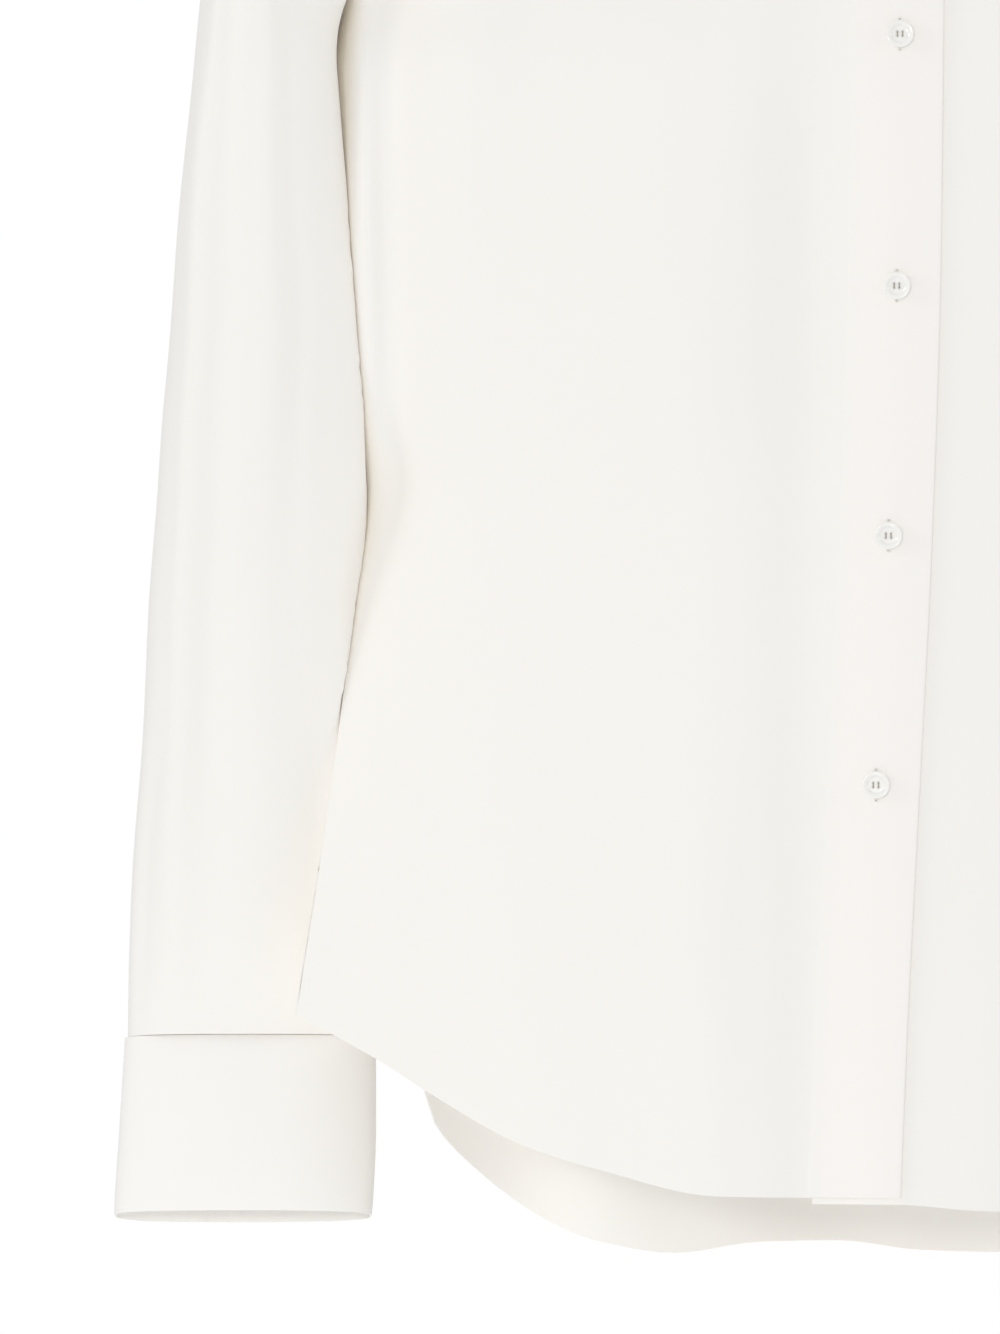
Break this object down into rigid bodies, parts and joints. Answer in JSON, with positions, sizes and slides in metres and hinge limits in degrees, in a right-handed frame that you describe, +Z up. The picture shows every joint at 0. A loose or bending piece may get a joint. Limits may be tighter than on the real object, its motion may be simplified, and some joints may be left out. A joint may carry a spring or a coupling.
{
  "type": "silk blouse",
  "caption": "Woman's long-sleeved ivory silk shirt-blouse, buttoned down the front, with collar, cuffs and shirt-tail hem, filled out as worn with no wearer.",
  "frame": {"origin": "middle of the neck, level with the highest points of the shoulders", "axes": "+Z up along the wearer's spine, +Y towards the wearer's back, -X towards the wearer's right"},
  "size_m": [0.6092, 0.2258, 0.7423],
  "materials": {
    "front_right": "satin",
    "front_left": "satin",
    "back": "satin",
    "sleeve_right": "satin",
    "sleeve_left": "satin",
    "cuff_right": "satin",
    "cuff_left": "satin",
    "slit_placket_right": "satin",
    "slit_placket_left": "satin",
    "collar_stand": "satin",
    "collar": "satin",
    "button_1": "polished shell",
    "button_2": "polished shell",
    "button_3": "polished shell",
    "button_4": "polished shell",
    "button_5": "polished shell",
    "button_stand": "polished shell",
    "button_cuff_right": "polished shell",
    "button_cuff_left": "polished shell"
  },
  "bodies": {
    "root": {"front_right": "front_right", "front_left": "front_left", "back": "back", "sleeve_right": "sleeve_right", "sleeve_left": "sleeve_left", "cuff_right": "cuff_right", "cuff_left": "cuff_left", "slit_placket_right": "slit_placket_right", "slit_placket_left": "slit_placket_left", "collar_stand": "collar_stand", "collar": "collar", "button_1": "button_1", "button_2": "button_2", "button_3": "button_3", "button_4": "button_4", "button_5": "button_5", "button_stand": "button_stand", "button_cuff_right": "button_cuff_right", "button_cuff_left": "button_cuff_left"}
  },
  "joints": []
}
